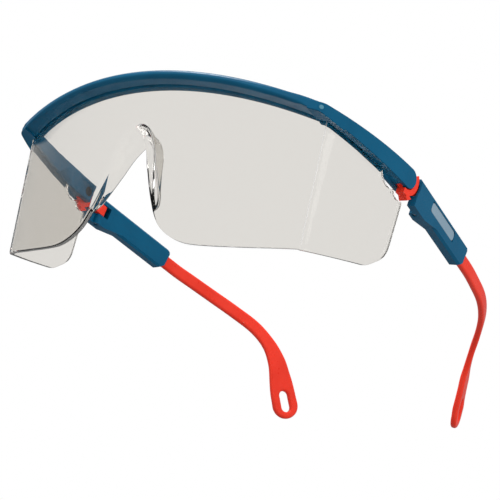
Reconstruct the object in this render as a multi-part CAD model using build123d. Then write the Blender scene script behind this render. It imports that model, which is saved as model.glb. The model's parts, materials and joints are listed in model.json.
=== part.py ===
from build123d import *
import os
from math import atan2, cos, degrees, radians, sin, sqrt

os.makedirs("parts", exist_ok=True)

# Open safety goggles: a one-piece clear lens snapped into a brow frame, and two temples that
# tilt, fold and telescope. Everything is drawn in the wearing frame: X to the wearer's left,
# Y towards the temple tips, Z up, temples level, and the foot of the lens fold near height 0.
# At the end all pieces are turned and lifted together, so that the goggles stand on the lens's
# lower edge and the temple tips. Millimetres and degrees.

# ---- driving dimensions -------------------------------------------------------------------
# Lens
WALL = 2.0                    # thickness of the lens
FRONT_RADIUS = 140.0          # plan radius of the front panel
HALF_WIDTH = 68.2             # centre line to the fold, at the foot
APEX_Y = -18.2                # foremost point of the front panel, at the foot
RAKE = 0.24                   # forward lean of the lens, per mm of height
LEAN = 0.03                   # outward lean of the side shields, per mm of height
SHIELD_MID = (73.1, 19.5)     # plan points of a side shield, at the foot
SHIELD_END = (74.9, 60.0)     # beyond the shield's rear edge, where the lens is cut off
FOLD_FOOT_Z = -0.6            # height of the foot at the fold
LOW_Z = -12.0                 # levels between which the lens walls are drawn
HIGH_Z = 58.0
BRIDGE_TOP_Z = 33.5           # top of the nose cut-out
FLANGE_WALL = 2.2             # thickness of the nose flange
FLANGE_REAR_Y = -15.0         # rear edge of the nose flange
FLANGE_FOOT_Z = 3.0           # lower end of the nose flange
RIB_SPAN = (0.25, 0.75)       # stretch of the foot that the flange's outer side follows
RIB_PARTS = 16
NOTCH_RADIUS = 6.6            # lens cut away round the tilt joint
LIP_NOTCH_RADIUS = 8.3        # and behind the joint's lower lip
RELIEF = (22.8, 44.2, 5.6)    # Y, Z and radius of the relief under the side arm

# Brow bar and side arms
BAR_FOOT_Z = 49.4             # underside of the bar at the centre line
BAR_DROOP = 11.0              # how much lower the bar's line is at BAR_DROOP_X
BAR_DROOP_X = 90.0
BAR_HEIGHT = 3.4
BAR_FRONT = 5.7               # bar in front of the lens
GROOVE_DEPTH = 2.0            # how far the lens goes up into the bar
ARM_OUT = 2.6                 # side arm outside the lens
FRAME_IN = 3.4                # bar and side arm inside the lens's outer face
PAD_X = (72.6, 75.2)          # thicker inner wall of the side arm's end
PAD_Y = (12.0, 30.8)
ARM_FOOT_Z = 42.0             # underside of the side arm
CORNER_RADIUS = 5.0
BAR_END_Y = -6.0              # the bar runs back to here, inside the side arms
ARM_FROM_X = 66.0

# Tilt joint
TILT_Y = 28.5                 # tilt axis, along X
TILT_Z = 45.7
ARM_END_RADIUS = 3.7
CRADLE_INNER = 4.05
CRADLE_OUTER = 6.2
CRADLE_X = (75.4, 78.8)
CRADLE_FROM = -97.0           # the cradle's ends, as angles about the tilt axis
CRADLE_TO = 40.0
LIP = ((28.2, 41.0), (31.2, 38.2), (33.2, 40.0))
LINK_X = (74.4, 77.3)         # link from the cradle to the fold knuckle
TONGUE_X = 76.4               # middle of the tongue and its slot
TONGUE_THICK = 2.0
TONGUE_RADIUS = 3.5
SLOT_THICK = 2.5
SLOT_RADIUS = 4.25
PIN_RADIUS = 1.3
PIN_HEAD_RADIUS = 2.0
PIN_HEAD_THICK = 0.8
PIN_INNER_X = 73.6
PIN_TIP_X = 78.2
COUNTERBORE_RADIUS = 2.15
PIN_GAP = 0.05                # running clearance of a bore on its pin

# Fold hinge and sleeve, in a sleeve frame: U outwards, V rearwards from the fold axis
FOLD_X = 76.0                 # fold axis, along Z
FOLD_Y = 41.0
FOLD_PIN_RADIUS = 0.8
KNUCKLE_RADIUS = 1.75
KNUCKLE_Z = (42.6, 46.8)
EAR_GAP = 0.25                # gap above and below the knuckle
EAR_RADIUS = 2.0
SLEEVE_TOE_IN = 7.3           # inward turn of the sleeve
SLEEVE_U = (-1.9, 2.9)        # inner and outer faces
SLEEVE_Z = (40.1, 49.3)
SLEEVE_LENGTH = 38.5
CHEEK_U = -0.1                # inner side of the sleeve in front of the fold axis
TOE_Z = 38.4                  # underside of the swelling at the sleeve's front end
TOE_V = (-6.6, 3.0, 10.0)     # front, lowest stretch's end and end of the swelling
CONCAVE_RADIUS = 6.5          # sleeve's front edge round the tilt joint
WINDOW_V = 3.2                # rear end of the knuckle's slot
SLEEVE_EDGE = 0.8             # chamfers of the sleeve
PLATE = (21.0, 3.8, 0.4)      # label plate: length, height, thickness
PLATE_CENTRE = (15.5, 45.7)   # V and Z
PLATE_RECESS = 0.5

# Temple arm
ARM_THICK = 2.4
ARM_GAP = 0.2                 # gap around the arm in the sleeve
ARM_TAIL = 20.0               # arm inside the sleeve
CAVITY_V = 7.0                # front end of the sleeve's cavity
ARM_EDGE = 0.9                # rounding of the arm's long edges
TIP_SLOT = (9.0, 4.2)
TIP_EASE = 0.4                # the round tip's circle is this much wider than the arm
TIP_SLOT_BACK = 1.0           # middle of the slot, back from the centre of the round tip
ARM_START_V = 45.0            # end of the straight part, from the fold axis
ARM_Z = 44.7
ARM_HEIGHT = 5.4
# points of the centre line, from the straight part to the centre of the round tip
ARM_LINE = [
    (68.6, 96.5, 44.8),
    (65.6, 108.0, 44.6),
    (61.0, 118.4, 43.5),
    (55.0, 127.8, 41.0),
    (50.2, 134.2, 36.6),
    (47.0, 138.9, 31.0),
    (45.2, 142.4, 25.2),
    (43.6, 145.6, 19.4),
    (42.5, 148.0, 15.5),
]
TIP_DIRECTION = (-0.24, 0.49, -0.84)
ARM_PARTS = 16                # stations along the curve
PADDLE_FROM = 50.0            # distance along the curve where the arm starts to widen
PADDLE_LENGTH = 31.0          # distance over which it does
NECK_HEIGHT = 5.6
PADDLE_HEIGHT = 11.8


# ---- helpers ------------------------------------------------------------------------------
def prism(outline, plane, reach=150):
    """A flat outline on a plane through the origin, extruded both ways."""
    return extrude(plane * outline, amount=reach, both=True)


def mirrored(shape):
    """The same shape on the other side of the centre plane."""
    return mirror(shape, about=Plane.YZ)


def block(x, y, z):
    """A box between two values of each coordinate."""
    size = (x[1] - x[0], y[1] - y[0], z[1] - z[0])
    return Pos((x[0] + x[1]) / 2, (y[0] + y[1]) / 2, (z[0] + z[1]) / 2) * Box(*size)


def rod(centre, direction, radius, length):
    """A cylinder that starts at a point and runs along a direction."""
    return extrude(Plane(centre, z_dir=direction) * Circle(radius), amount=length)


# ---- lens ---------------------------------------------------------------------------------
def lens_points(z):
    """Apex, fold, middle and rear end of the right half of the lens's outer face, in plan."""
    fold_y = APEX_Y + FRONT_RADIUS - sqrt(FRONT_RADIUS**2 - HALF_WIDTH**2)
    plan = [(0, APEX_Y), (HALF_WIDTH, fold_y), SHIELD_MID, SHIELD_END]
    return [(x + (LEAN * z if x else 0), y - RAKE * z) for x, y in plan]


def lens_region(z):
    """Plan of everything inside the lens's outer face at one height."""
    apex, fold, mid, end = lens_points(z)
    flip = [(-x, y) for x, y in (fold, mid, end)]
    edges = [
        ThreePointArc(flip[0], apex, fold),
        ThreePointArc(fold, mid, end),
        Line(end, flip[2]),
        ThreePointArc(flip[2], flip[1], flip[0]),
    ]
    return make_face(edges)


def raked_solid(inset):
    """The raked block inside the lens's outer face, shrunk by an inset."""
    sections = []
    for z in (LOW_Z, HIGH_Z):
        plan = lens_region(z)
        if inset:
            plan = offset(plan, amount=-inset, kind=Kind.INTERSECTION)
        sections.append(Pos(0, 0, z) * plan)
    return loft(sections, ruled=True)


def foot_edge():
    """The lens's lower edge in front view, over the nose cut-out and from fold to fold."""
    right = [
        (5.0, 28.6),
        (8.6, 19.0),
        (13.0, 8.0),
        (17.6, 0.0),
        (24.0, -4.3),
        (32.0, -5.9),
        (50.0, -4.2),
        (HALF_WIDTH, FOLD_FOOT_Z),
    ]
    left = [(-x, z) for x, z in reversed(right)]
    return Spline([*left, (0, BRIDGE_TOP_Z), *right], tangents=[(1, -0.2), (1, 0.2)])


def under_foot():
    """Area below the lens's lower edge and inside the nose cut-out, in front view."""
    low = LOW_Z - 5
    side = HALF_WIDTH + 20
    edge = foot_edge()
    frame = Polyline(
        edge @ 1, (side, FOLD_FOOT_Z), (side, low), (-side, low), (-side, FOLD_FOOT_Z), edge @ 0
    )
    return make_face([edge, frame])


def shield_outline():
    """Side view of the lens: its panel and the side shield with its rounded rear edge."""
    fold_y = 0.6
    panel = Rectangle(60, HIGH_Z - LOW_Z, align=(Align.MAX, Align.MIN))
    shield = make_face(Polyline(
        (fold_y, FOLD_FOOT_Z), (27.0, 9.4), (34.4, 17.0), (31.4, 44.0), (30.0, HIGH_Z),
        (fold_y, HIGH_Z), (fold_y, FOLD_FOOT_Z),
    ))
    rear = [v for v in shield.vertices() if v.X > 20 and v.Y < 30]
    return Pos(fold_y, LOW_Z) * panel + fillet(rear, radius=9.0)


def bar_line(lift):
    """Front view of the bar's underside, or of a line above it."""
    corner_z = BAR_FOOT_Z - BAR_DROOP + lift
    return ThreePointArc(
        (-BAR_DROOP_X, corner_z), (0, BAR_FOOT_Z + lift), (BAR_DROOP_X, corner_z)
    )


def under_bar(lift):
    """Area below a bar line, in front view."""
    corner_z = BAR_FOOT_Z - BAR_DROOP + lift
    x = BAR_DROOP_X
    lines = Polyline((x, corner_z), (x, 2 * LOW_Z), (-x, 2 * LOW_Z), (-x, corner_z))
    return make_face([bar_line(lift), lines])


def nose_rib(opening):
    """Rib round the nose cut-out that reaches back to rest on the nose. It starts mid-wall."""
    edge = foot_edge()
    first, last = RIB_SPAN
    points = []
    for part in range(RIB_PARTS + 1):
        place = first + (last - first) * part / RIB_PARTS
        along = edge.tangent_at(place)
        points.append(edge.position_at(place) + Vector(-along.Y, along.X) * FLANGE_WALL)
    band = prism(make_face([Spline(points), Line(points[-1], points[0])]), Plane.XZ)
    rear = block((-30, 30), (-60, FLANGE_REAR_Y), (FLANGE_FOOT_Z, HIGH_Z))
    return (band & rear & raked_solid(WALL / 2)) - opening


def make_lens():
    opening = prism(under_foot(), Plane.XZ)
    shell = (raked_solid(0) & prism(shield_outline(), Plane.YZ)) - raked_solid(WALL) - opening
    lens = shell + nose_rib(opening)
    lens &= prism(under_bar(GROOVE_DEPTH), Plane.XZ)
    return lens - prism(joint_notch(), Plane.YZ)


def joint_notch():
    """Side view of what is cut from the lens for the tilt joint and under the side arm."""
    axis = Pos(TILT_Y, TILT_Z)
    lip_room = axis * Circle(LIP_NOTCH_RADIUS) & axis * Rectangle(20, 40, align=(Align.MIN, Align.MAX))
    relief = Pos(RELIEF[0], RELIEF[1]) * Circle(RELIEF[2])
    return axis * Circle(NOTCH_RADIUS) + lip_room + relief


# ---- brow frame ---------------------------------------------------------------------------
def frame_plan(front, side):
    """Plan of everything inside the frame's outer or inner face."""
    level = (BAR_FOOT_Z + ARM_FOOT_Z) / 2
    apex, fold, mid, end = lens_points(level)
    arc = ThreePointArc(fold, mid, end)
    centre = arc.arc_center
    panel = Pos(0, apex[1] + FRONT_RADIUS) * Circle(FRONT_RADIUS + front)
    right = Pos(centre.X, centre.Y) * Circle(arc.radius + side)
    return panel & right & mirrored(right)


def side_arm_outline():
    """Side view of a side arm: it grows towards its round rear end."""
    top = TILT_Z + ARM_END_RADIUS
    foot = TILT_Z - ARM_END_RADIUS
    front = -22.0
    edges = [
        Line((front, ARM_FOOT_Z + 1.0), (TILT_Y, foot)),
        ThreePointArc((TILT_Y, foot), (TILT_Y + ARM_END_RADIUS, TILT_Z), (TILT_Y, top)),
        ThreePointArc((TILT_Y, top), (2.0, 48.0), (front, 45.9)),
        Line((front, 45.9), (front, ARM_FOOT_Z + 1.0)),
    ]
    return make_face(edges)


def make_brow_frame(lens):
    outside = frame_plan(BAR_FRONT, ARM_OUT)
    corners = [v for v in outside.vertices() if v.Y < 0]
    plan = fillet(corners, radius=CORNER_RADIUS) - frame_plan(-FRAME_IN, -FRAME_IN)
    band = extrude(Pos(0, 0, 30) * plan, amount=30)
    bar_zone = block((-90, 90), (-60, BAR_END_Y), (0, 80))
    bar = band & prism(under_bar(BAR_HEIGHT), Plane.XZ) - prism(under_bar(0), Plane.XZ)
    arms = band & prism(side_arm_outline(), Plane.YZ)
    arms -= block((-ARM_FROM_X, ARM_FROM_X), (-60, 60), (0, 80))
    pad = block(PAD_X, PAD_Y, (TILT_Z - ARM_END_RADIUS, TILT_Z + ARM_END_RADIUS))
    behind_pad = block((PAD_X[0] - 5, PAD_X[1]), (PAD_Y[1], PAD_Y[1] + 9), (30, 60))
    bore_start = (PAD_X[0] - 1, TILT_Y, TILT_Z)
    counterbore = rod(bore_start, (1, 0, 0), COUNTERBORE_RADIUS, PIN_INNER_X - bore_start[0])
    left = pad + arms
    cuts = [behind_pad, tilt_slot(), tilt_pin(), counterbore]
    frame = (bar & bar_zone) + left + mirrored(pad) - lens
    for cut in cuts:
        frame -= cut
        frame -= mirrored(cut)
    return frame


def tilt_slot():
    """Slot for the tongue in the left side arm's end."""
    x = TONGUE_X - SLOT_THICK / 2
    round_end = rod((x, TILT_Y, TILT_Z), (1, 0, 0), SLOT_RADIUS, SLOT_THICK)
    return round_end + block((x, x + SLOT_THICK), (TILT_Y, TILT_Y + 9), (40, 52))


def tilt_pin():
    """Headed pin, entered from the inner face of the left side arm."""
    start = (PIN_INNER_X, TILT_Y, TILT_Z)
    shank = rod(start, (1, 0, 0), PIN_RADIUS, PIN_TIP_X - PIN_INNER_X)
    return shank + rod(start, (1, 0, 0), PIN_HEAD_RADIUS, PIN_HEAD_THICK)


# ---- tilt joint ---------------------------------------------------------------------------
def cradle_sector():
    """Area between the cradle's two ends, seen from the side, about the tilt axis."""
    reach = 2 * CRADLE_OUTER
    angles = (CRADLE_FROM, (CRADLE_FROM + CRADLE_TO) / 2, CRADLE_TO)
    tips = [(reach * cos(radians(a)), reach * sin(radians(a))) for a in angles]
    return make_face(Polyline((0, 0), *tips, (0, 0)))


def make_tilt_joint():
    """Red piece of the left side: cradle, tongue, link and fold knuckle."""
    axis = Pos(TILT_Y, TILT_Z)
    sector = cradle_sector()
    lip = make_face(Polyline(*LIP, LIP[0]))
    cradle = axis * (Circle(CRADLE_OUTER) & sector) + lip - axis * Circle(CRADLE_INNER)
    seat = extrude(Plane.YZ.offset(CRADLE_X[0]) * cradle, amount=CRADLE_X[1] - CRADLE_X[0])
    web = axis * (Circle(TONGUE_RADIUS) + (Circle(CRADLE_OUTER) & sector))
    tongue = extrude(Plane.YZ.offset(TONGUE_X - TONGUE_THICK / 2) * web, amount=TONGUE_THICK)
    low, high = KNUCKLE_Z
    link = block(LINK_X, (TILT_Y + CRADLE_INNER + 1, FOLD_Y), KNUCKLE_Z)
    link -= rod((LINK_X[0] - 1, TILT_Y, TILT_Z), (1, 0, 0), CRADLE_OUTER - 0.5, CRADLE_X[0] - LINK_X[0] + 1)
    knuckle = rod((FOLD_X, FOLD_Y, low), (0, 0, 1), KNUCKLE_RADIUS, high - low)
    joint = seat + tongue + link + knuckle
    joint -= rod((CRADLE_X[0] - 5, TILT_Y, TILT_Z), (1, 0, 0), PIN_RADIUS + PIN_GAP, 20)
    return joint - rod((FOLD_X, FOLD_Y, low - 1), (0, 0, 1), FOLD_PIN_RADIUS, high - low + 2)


def make_fold_pin():
    """Steel pin of the left fold hinge, flush with the sleeve's top and foot."""
    return rod((FOLD_X, FOLD_Y, TOE_Z + 0.6), (0, 0, 1), FOLD_PIN_RADIUS, SLEEVE_Z[1] - TOE_Z - 1.2)


# ---- sleeve -------------------------------------------------------------------------------
def sleeve_frame():
    """Location of the sleeve frame in the wearing frame."""
    return Location((FOLD_X, FOLD_Y, 0), (0, 0, SLEEVE_TOE_IN))


def sleeve_outline():
    """Side view of the sleeve, V against Z: its front end is deeper than the rest."""
    low, high = SLEEVE_Z
    tilt_v = TILT_Y - FOLD_Y
    edges = Polyline(
        (TOE_V[0] - 1, high), (TOE_V[0] - 1, TOE_Z), (TOE_V[1], TOE_Z), (TOE_V[2], low),
        (SLEEVE_LENGTH - 2.6, low), (SLEEVE_LENGTH - 0.6, low + 2.0), (SLEEVE_LENGTH, high - 1.6),
        (SLEEVE_LENGTH - 1.2, high), (TOE_V[0] - 1, high),
    )
    face = make_face(edges) - Pos(tilt_v, TILT_Z) * Circle(CONCAVE_RADIUS)
    front = Pos(TOE_V[0], 0) * Rectangle(20, 100, align=(Align.MAX, Align.CENTER))
    return face - front


def make_sleeve():
    low, high = SLEEVE_Z
    inner, outer = SLEEVE_U
    upright = Plane((0, 0, 0), x_dir=(0, 1, 0), z_dir=(1, 0, 0))
    body = extrude(upright.offset(inner) * sleeve_outline(), amount=outer - inner)
    long_edges = [
        e for e in body.edges().filter_by(Axis.Y) if e.length > 20
    ]
    body = chamfer(long_edges, length=SLEEVE_EDGE)
    # the inner half stops behind the link, rounded about the fold axis
    front = block((inner - 1, CHEEK_U), (TOE_V[0] - 5, 0), (30, 60))
    ears = rod((0, 0, 30), (0, 0, 1), EAR_RADIUS, 30)
    body -= front - ears
    slot_z = (KNUCKLE_Z[0] - EAR_GAP, KNUCKLE_Z[1] + EAR_GAP)
    body -= block((inner - 1, KNUCKLE_RADIUS + EAR_GAP), (TOE_V[0] - 5, WINDOW_V), slot_z)
    half = ARM_THICK / 2 + ARM_GAP
    middle = (inner + outer) / 2
    arm_half = ARM_HEIGHT / 2 + ARM_GAP
    cavity_z = (ARM_Z - arm_half, ARM_Z + arm_half)
    body -= block((middle - half, middle + half), (CAVITY_V, SLEEVE_LENGTH + 5), cavity_z)
    recess = Box(2 * PLATE_RECESS, PLATE[0] + 0.2, PLATE[1] + 0.2)
    body -= Pos(outer, *PLATE_CENTRE) * recess
    body = sleeve_frame() * body
    return body - rod((FOLD_X, FOLD_Y, TOE_Z - 1), (0, 0, 1), FOLD_PIN_RADIUS + PIN_GAP, 30)


def make_label_plate():
    """Blank plate that lies in the recess of the sleeve's outer face."""
    u = SLEEVE_U[1] - PLATE_RECESS + PLATE[2] / 2
    plate = Pos(u, *PLATE_CENTRE) * Box(PLATE[2], PLATE[0], PLATE[1])
    return sleeve_frame() * plate


# ---- temple arm ---------------------------------------------------------------------------
def arm_height(run):
    """Height of the arm at a distance along its curve: it widens into the paddle."""
    share = min(max((run - PADDLE_FROM) / PADDLE_LENGTH, 0), 1)
    growth = (PADDLE_HEIGHT - NECK_HEIGHT) * share * share * (3 - 2 * share)
    return ARM_HEIGHT + (NECK_HEIGHT - ARM_HEIGHT) * min(run / PADDLE_FROM, 1) + growth


def arm_stations():
    """Plane across the arm and its height, from the end of its straight part to the tip."""
    middle = (SLEEVE_U[0] + SLEEVE_U[1]) / 2
    start = (sleeve_frame() * Pos(middle, ARM_START_V, ARM_Z)).position
    straight = Vector(0, 1, 0).rotate(Axis.Z, SLEEVE_TOE_IN)
    line = Spline([start, *ARM_LINE], tangents=[straight, TIP_DIRECTION])
    stations = []
    for part in range(ARM_PARTS + 1):
        place = part / ARM_PARTS
        plane = across_arm(line.position_at(place), line.tangent_at(place))
        stations.append((plane, arm_height(place * line.length)))
    return stations


def across_arm(point, along):
    """Plane across the arm whose X runs up the arm's height and whose Y is level."""
    level = Vector(along.Y, -along.X, 0).normalized()
    return Plane(point, x_dir=level.cross(along), z_dir=along)


def make_temple():
    stations = arm_stations()
    sections = [plane * RectangleRounded(h, ARM_THICK, ARM_EDGE) for plane, h in stations]
    blade = loft(sections)
    tail_length = ARM_START_V - SLEEVE_LENGTH + ARM_TAIL
    tail = extrude(sections[0], amount=-tail_length)
    tip, height = stations[-1]
    end = extrude(sections[-1], amount=height)
    flat = Plane(tip.origin, x_dir=tip.z_dir, z_dir=tip.y_dir)
    round_end = Pos(-TIP_EASE, 0) * Circle(height / 2 + TIP_EASE / 2)
    corners = Rectangle(2 * height, 2 * height, align=(Align.MIN, Align.CENTER)) - round_end
    cuts = corners + Pos(-TIP_SLOT_BACK, 0) * SlotOverall(*TIP_SLOT)
    return blade + tail + end - extrude(flat * cuts, amount=20, both=True)


# ---- assembly -----------------------------------------------------------------------------
def standing(shapes, angle):
    """All pieces turned about X, temples down, and set with their middle over the origin."""
    turned = {name: Rot(-angle, 0, 0) * shape for name, shape in shapes.items()}
    boxes = [shape.bounding_box() for shape in turned.values()]
    low_y = min(b.min.Y for b in boxes)
    high_y = max(b.max.Y for b in boxes)
    low_z = min(b.min.Z for b in boxes)
    shift = Pos(0, -(low_y + high_y) / 2, -low_z)
    return {name: shift * shape for name, shape in turned.items()}, shift * Rot(-angle, 0, 0)


def standing_angle(lens, temple):
    """Turn about X that brings the lens's foot and the temple's tip to the same level."""
    angle = 0.0
    for _ in range(4):
        turned = [Rot(-angle, 0, 0) * s for s in (lens, temple)]
        lens_box, tip_box = (s.bounding_box() for s in turned)
        span = tip_box.max.Y - lens_box.min.Y
        angle += degrees(atan2(tip_box.min.Z - lens_box.min.Z, span))
    return angle


def build():
    lens = make_lens()
    left = {
        "tilt_pin": tilt_pin(),
        "tilt_joint": make_tilt_joint(),
        "fold_pin": make_fold_pin(),
        "sleeve": make_sleeve(),
        "label_plate": make_label_plate(),
        "temple": make_temple(),
    }
    shapes = {"lens": lens, "brow_frame": make_brow_frame(lens)}
    for name, shape in left.items():
        shapes["left_" + name] = shape
        shapes["right_" + name] = mirrored(shape)
    return standing(shapes, standing_angle(lens, left["temple"]))


pieces, placing = build()
for name, piece in pieces.items():
    export_step(piece, "parts/" + name + ".step")
print("placing", placing.position, placing.orientation)
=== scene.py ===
"""Clear safety goggles: a one-piece lens with side shields, a blue brow frame, and side arms.
The arms tilt, fold and slide."""
import json
import math

import bmesh
import bpy
from mathutils import Matrix, Vector
from mathutils.geometry import delaunay_2d_cdt


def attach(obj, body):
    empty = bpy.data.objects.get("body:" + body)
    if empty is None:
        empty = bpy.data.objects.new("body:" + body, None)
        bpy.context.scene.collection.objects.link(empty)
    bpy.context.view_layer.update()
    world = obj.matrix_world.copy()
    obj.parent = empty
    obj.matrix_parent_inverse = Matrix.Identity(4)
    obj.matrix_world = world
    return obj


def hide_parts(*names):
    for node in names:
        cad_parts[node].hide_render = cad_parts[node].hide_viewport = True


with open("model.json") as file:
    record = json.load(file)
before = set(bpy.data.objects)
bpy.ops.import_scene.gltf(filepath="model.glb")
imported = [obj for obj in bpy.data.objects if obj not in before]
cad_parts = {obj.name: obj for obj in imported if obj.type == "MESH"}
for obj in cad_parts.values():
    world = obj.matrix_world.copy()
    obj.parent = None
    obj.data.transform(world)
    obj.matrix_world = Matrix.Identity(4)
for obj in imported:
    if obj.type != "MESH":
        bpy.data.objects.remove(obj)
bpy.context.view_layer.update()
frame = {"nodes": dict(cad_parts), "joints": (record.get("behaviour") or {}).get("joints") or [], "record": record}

# ---------------------------------------------------------------- the design frame
# Shapes are written as part.py writes them: in millimetres, as worn, with X to the wearer's left,
# Y to the temple tips and Z up.
# The row frame rests on the floor, tipped about X and moved. Both are read back from the record's joints.
JOINTS = {joint["name"]: joint for joint in frame["joints"]}
FOLD_AXIS = Vector(JOINTS["left_fold"]["axis"])
REST_TIP = math.atan2(FOLD_AXIS.y, FOLD_AXIS.z)
TILT_POINT_MM = Vector((76.4, 28.5, 45.7))      # centre of the left tilt hinge
TO_ROW = Matrix.Rotation(-REST_TIP, 4, "X") @ Matrix.Scale(0.001, 4)
TO_ROW = Matrix.Translation(Vector(JOINTS["left_tilt"]["pos_m"]) - TO_ROW @ TILT_POINT_MM) @ TO_ROW
TO_DESIGN = TO_ROW.inverted()


# ---------------------------------------------------------------- materials
NOISE_LOW, NOISE_HIGH = 0.3, 0.7      # most of a noise texture's values lie between these
NOISE_ROUGHNESS = 0.55
# noise scales are in cycles per metre, and bump depths in metres
SHADE_SCALE, GLOSS_SCALE, GRAIN_SCALE = 70.0, 420.0, 3200.0
GLOSS_BELOW, GLOSS_ABOVE = 0.05, 0.07
GRAIN_DEPTH = 0.00006
SCATTER_DEPTH = 0.0012
SCATTER_SHARES = (0.9, 0.25, 0.15)      # how far each colour goes, in shares of that depth
HAZE_SCALE, WAVE_SCALE, FROST_SCALE = 260.0, 55.0, 900.0
WAVE_STRENGTH, WAVE_DEPTH = 0.12, 0.0006
CLEAR_INDEX = 1.36
HAZE_ROUGHNESS, FROST_ROUGHNESS = (0.012, 0.035), (0.10, 0.30)
FROSTED_CLARITY = 0.55


def new_material(name):
    """A material, with its nodes, links and shader."""
    material = bpy.data.materials.new(name)
    material.use_nodes = True
    nodes = material.node_tree.nodes
    shader = nodes["Principled BSDF"]
    return material, nodes, material.node_tree.links, shader


def noise(nodes, links, coordinates, scale, detail):
    """Value of a noise texture."""
    texture = nodes.new("ShaderNodeTexNoise")
    texture.inputs["Scale"].default_value = scale
    texture.inputs["Detail"].default_value = detail
    texture.inputs["Roughness"].default_value = NOISE_ROUGHNESS
    links.new(coordinates, texture.inputs["Vector"])
    return texture.outputs["Fac"]


def remap(nodes, links, value, low, high):
    """A noise value brought into the range from low to high."""
    mapped = nodes.new("ShaderNodeMapRange")
    mapped.inputs["From Min"].default_value = NOISE_LOW
    mapped.inputs["From Max"].default_value = NOISE_HIGH
    mapped.inputs["To Min"].default_value = low
    mapped.inputs["To Max"].default_value = high
    links.new(value, mapped.inputs["Value"])
    return mapped.outputs["Result"]


def moulded_plastic(name, shade, light, roughness, grain, subsurface=0.0, specular=0.3):
    """Moulded plastic: two close shades, a fine spark-eroded grain and slightly uneven gloss."""
    material, nodes, links, shader = new_material(name)
    coordinates = nodes.new("ShaderNodeTexCoord").outputs["Object"]
    drift = noise(nodes, links, coordinates, SHADE_SCALE, 3.0)
    mix = nodes.new("ShaderNodeMix")
    mix.data_type = "RGBA"
    mix.inputs["A"].default_value = (*shade, 1.0)
    mix.inputs["B"].default_value = (*light, 1.0)
    links.new(remap(nodes, links, drift, 0.0, 1.0), mix.inputs["Factor"])
    links.new(mix.outputs["Result"], shader.inputs["Base Color"])
    gloss = noise(nodes, links, coordinates, GLOSS_SCALE, 3.0)
    uneven = remap(nodes, links, gloss, roughness - GLOSS_BELOW, roughness + GLOSS_ABOVE)
    links.new(uneven, shader.inputs["Roughness"])
    texture = noise(nodes, links, coordinates, GRAIN_SCALE, 2.0)
    bump = nodes.new("ShaderNodeBump")
    bump.inputs["Strength"].default_value = grain
    bump.inputs["Distance"].default_value = GRAIN_DEPTH
    links.new(texture, bump.inputs["Height"])
    links.new(bump.outputs["Normal"], shader.inputs["Normal"])
    shader.inputs["Specular IOR Level"].default_value = specular
    if subsurface:
        shader.inputs["Subsurface Weight"].default_value = subsurface
        shader.inputs["Subsurface Radius"].default_value = SCATTER_SHARES
        shader.inputs["Subsurface Scale"].default_value = SCATTER_DEPTH
    return material


def clear_polycarbonate():
    """Clear sheet with slightly uneven haze and the slight waviness of a moulded lens. Its faint warm grey tint is
    painted shade for the greyer backdrop seen through the lens.
    """
    material, nodes, links, shader = new_material("clear_polycarbonate")
    coordinates = nodes.new("ShaderNodeTexCoord").outputs["Object"]
    # painted shade: this warm grey stands in for the greyer backdrop seen through the lens, not a tint of the
    # sheet
    shader.inputs["Base Color"].default_value = (0.735, 0.715, 0.68, 1.0)
    shader.inputs["Transmission Weight"].default_value = 1.0
    shader.inputs["IOR"].default_value = CLEAR_INDEX
    haze = noise(nodes, links, coordinates, HAZE_SCALE, 5.0)
    links.new(remap(nodes, links, haze, *HAZE_ROUGHNESS), shader.inputs["Roughness"])
    wave = noise(nodes, links, coordinates, WAVE_SCALE, 1.0)
    bump = nodes.new("ShaderNodeBump")
    bump.inputs["Strength"].default_value = WAVE_STRENGTH
    bump.inputs["Distance"].default_value = WAVE_DEPTH
    links.new(wave, bump.inputs["Height"])
    links.new(bump.outputs["Normal"], shader.inputs["Normal"])
    return material


def moulded_edge():
    """The lens's narrow edges and fold lines: the same plastic, slightly frosted where the mould parts."""
    material, nodes, links, shader = new_material("clear_edge")
    coordinates = nodes.new("ShaderNodeTexCoord").outputs["Object"]
    frost = noise(nodes, links, coordinates, FROST_SCALE, 4.0)
    links.new(remap(nodes, links, frost, *FROST_ROUGHNESS), shader.inputs["Roughness"])
    shader.inputs["Base Color"].default_value = (0.80, 0.79, 0.77, 1.0)
    shader.inputs["Transmission Weight"].default_value = FROSTED_CLARITY
    shader.inputs["IOR"].default_value = CLEAR_INDEX
    return material


CLEAR = clear_polycarbonate()
CLEAR_EDGE = moulded_edge()
BLUE = moulded_plastic("blue_nylon", (0.001, 0.092, 0.190), (0.002, 0.110, 0.220), 0.33, 0.35, specular=0.15)
RED = moulded_plastic("red_nylon", (0.90, 0.036, 0.014), (0.97, 0.048, 0.022), 0.30, 0.25, subsurface=0.05)
LABEL = moulded_plastic("label_plate", (0.22, 0.33, 0.42), (0.27, 0.38, 0.46), 0.40, 0.15)
# pale blue of a small disc: a painted highlight on each outer corner of the bar
PAINTED_HIGHLIGHT = moulded_plastic("painted_highlight_disc", (0.08, 0.26, 0.36), (0.12, 0.32, 0.42), 0.45, 0.1)
# near-black tilt pins: the pin is real, and its colour also stands in for painted shade deep inside its hinge hole
DARK_PIN_AND_SHADE = moulded_plastic("dark_pin", (0.010, 0.012, 0.016), (0.016, 0.019, 0.025), 0.42, 0.2)
STEEL = moulded_plastic("steel_pin", (0.42, 0.42, 0.43), (0.52, 0.52, 0.53), 0.26, 0.1)

FINISH = {"lens": (CLEAR, "clear_lens"), "brow_frame": (BLUE, "blue_nylon")}
for side in ("left", "right"):
    # the tilt pin's near-black also paints the shade inside its hole
    FINISH[f"{side}_tilt_pin"] = (DARK_PIN_AND_SHADE, "dark_pin")
    FINISH[f"{side}_tilt_joint"] = (RED, "red_nylon")
    FINISH[f"{side}_fold_pin"] = (STEEL, "steel_pin")
    FINISH[f"{side}_sleeve"] = (BLUE, "blue_nylon")
    FINISH[f"{side}_label_plate"] = (LABEL, "label")
    FINISH[f"{side}_temple"] = (RED, "red_nylon")

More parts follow.
